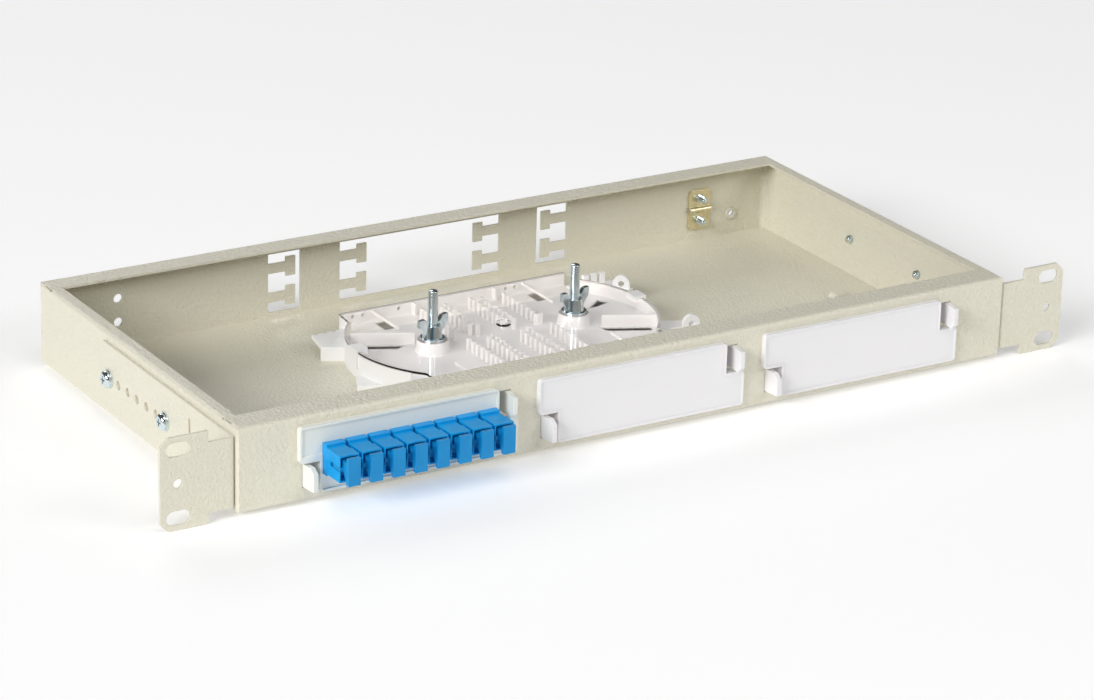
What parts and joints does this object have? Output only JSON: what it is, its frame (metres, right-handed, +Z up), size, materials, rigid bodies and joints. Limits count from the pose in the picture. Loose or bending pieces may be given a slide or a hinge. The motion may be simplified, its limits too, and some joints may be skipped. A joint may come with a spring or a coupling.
{
  "type": "fibre distribution box",
  "caption": "Shallow rack-mounted sheet-metal fibre box with its cover off: snap-in front plates, capped blue adapters, splice tray on studs, tabbed rear cable entries.",
  "frame": {"origin": "centre of the four rack slots, on the back faces of the ears", "axes": "+X to the right seen from the front, +Y into the rack, +Z up"},
  "size_m": [0.4826, 0.2292, 0.0436],
  "materials": {
    "body_paint": "fine textured powder coat",
    "pale_plastic": "fine satin",
    "white_plastic": "fine satin",
    "tray_plastic": "satin",
    "clear_plastic": "clear gloss",
    "adapter_plastic": "satin moulded",
    "cap_plastic": "satin moulded",
    "zinc": "bright zinc plate",
    "yellow_zinc": "yellow passivated zinc",
    "bronze": "bare metal"
  },
  "bodies": {
    "box": {"chassis_tray": "body_paint", "left_mounting_ear": "body_paint", "right_mounting_ear": "body_paint", "left_ear_screws": "zinc", "right_ear_screws": "zinc", "left_ear_washers": "zinc", "right_ear_washers": "zinc", "adapter_plate": "pale_plastic", "middle_blank_plate": "white_plastic", "right_blank_plate": "white_plastic", "fibre_adapter_1": "adapter_plastic", "fibre_adapter_2": "adapter_plastic", "fibre_adapter_3": "adapter_plastic", "fibre_adapter_4": "adapter_plastic", "fibre_adapter_5": "adapter_plastic", "fibre_adapter_6": "adapter_plastic", "fibre_adapter_7": "adapter_plastic", "fibre_adapter_8": "adapter_plastic", "alignment_sleeves": "bronze", "splice_tray": "tray_plastic", "splice_tray_lid": "clear_plastic", "left_tray_stud": "zinc", "right_tray_stud": "zinc", "tray_washers": "zinc", "cable_clamp_plate": "yellow_zinc", "clamp_screws": "zinc", "earth_nut": "zinc"},
    "cap_1": {"dust_cap_1": "cap_plastic"},
    "cap_2": {"dust_cap_2": "cap_plastic"},
    "cap_3": {"dust_cap_3": "cap_plastic"},
    "cap_4": {"dust_cap_4": "cap_plastic"},
    "cap_5": {"dust_cap_5": "cap_plastic"},
    "cap_6": {"dust_cap_6": "cap_plastic"},
    "cap_7": {"dust_cap_7": "cap_plastic"},
    "cap_8": {"dust_cap_8": "cap_plastic"},
    "left_nut": {"left_wing_nut": "zinc"},
    "right_nut": {"right_wing_nut": "zinc"}
  },
  "joints": [
    {"name": "cap_1_pull", "type": "slide", "parent": "box", "child": "cap_1", "axis": [0, -1, 0], "range_m": [0, 0.02]},
    {"name": "cap_2_pull", "type": "slide", "parent": "box", "child": "cap_2", "axis": [0, -1, 0], "range_m": [0, 0.02]},
    {"name": "cap_3_pull", "type": "slide", "parent": "box", "child": "cap_3", "axis": [0, -1, 0], "range_m": [0, 0.02]},
    {"name": "cap_4_pull", "type": "slide", "parent": "box", "child": "cap_4", "axis": [0, -1, 0], "range_m": [0, 0.02]},
    {"name": "cap_5_pull", "type": "slide", "parent": "box", "child": "cap_5", "axis": [0, -1, 0], "range_m": [0, 0.02]},
    {"name": "cap_6_pull", "type": "slide", "parent": "box", "child": "cap_6", "axis": [0, -1, 0], "range_m": [0, 0.02]},
    {"name": "cap_7_pull", "type": "slide", "parent": "box", "child": "cap_7", "axis": [0, -1, 0], "range_m": [0, 0.02]},
    {"name": "cap_8_pull", "type": "slide", "parent": "box", "child": "cap_8", "axis": [0, -1, 0], "range_m": [0, 0.02]},
    {"name": "left_nut_turn", "type": "hinge", "parent": "box", "child": "left_nut", "pos_m": [-0.04455, 0.1094, 0.0005], "axis": [0, 0, 1], "continuous": true},
    {"name": "right_nut_turn", "type": "hinge", "parent": "box", "child": "right_nut", "pos_m": [0.03355, 0.1094, 0.0005], "axis": [0, 0, 1], "continuous": true}
  ]
}
